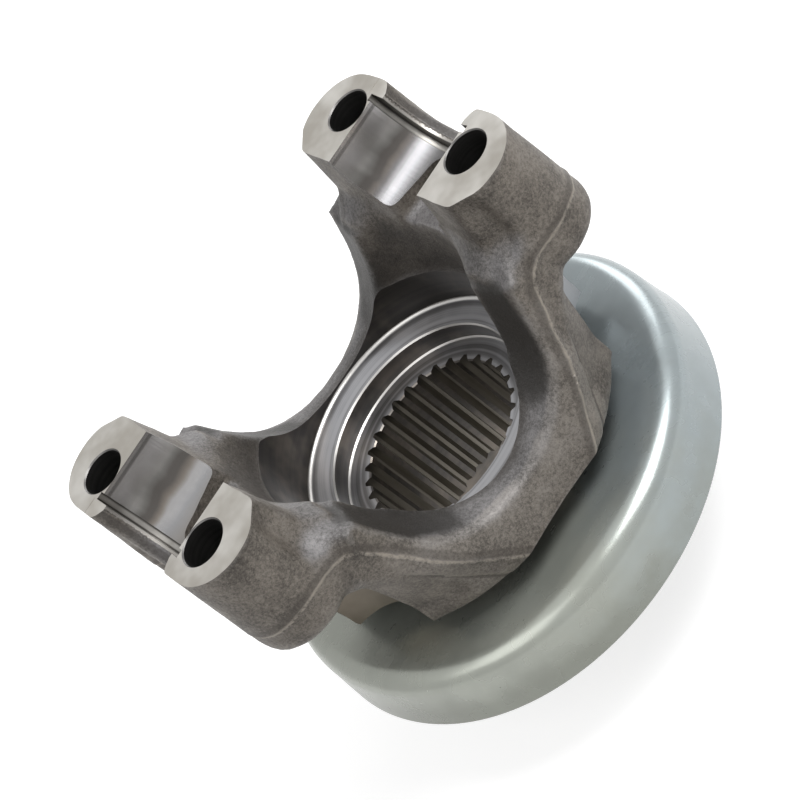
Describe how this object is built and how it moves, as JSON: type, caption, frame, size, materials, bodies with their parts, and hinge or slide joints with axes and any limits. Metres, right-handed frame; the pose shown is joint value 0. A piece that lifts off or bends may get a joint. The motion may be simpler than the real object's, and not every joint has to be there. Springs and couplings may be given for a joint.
{
  "type": "forged yoke",
  "caption": "Forged end yoke with half-round bearing seats, clamp bolt bosses, a splined bore in a machined bowl and a pressed dust shield on its hub.",
  "frame": {"origin": "centre of the hub's end face", "axes": "+Z along the bore towards the ears, X across the two arms, Y across the clamp bolts"},
  "size_m": [0.1016, 0.1008, 0.091],
  "materials": {
    "forged_steel": "forged skin with machined seats and bore",
    "zinc_plate": "bright zinc plate"
  },
  "bodies": {
    "root": {"yoke": "forged_steel", "dust_shield": "zinc_plate"}
  },
  "joints": []
}
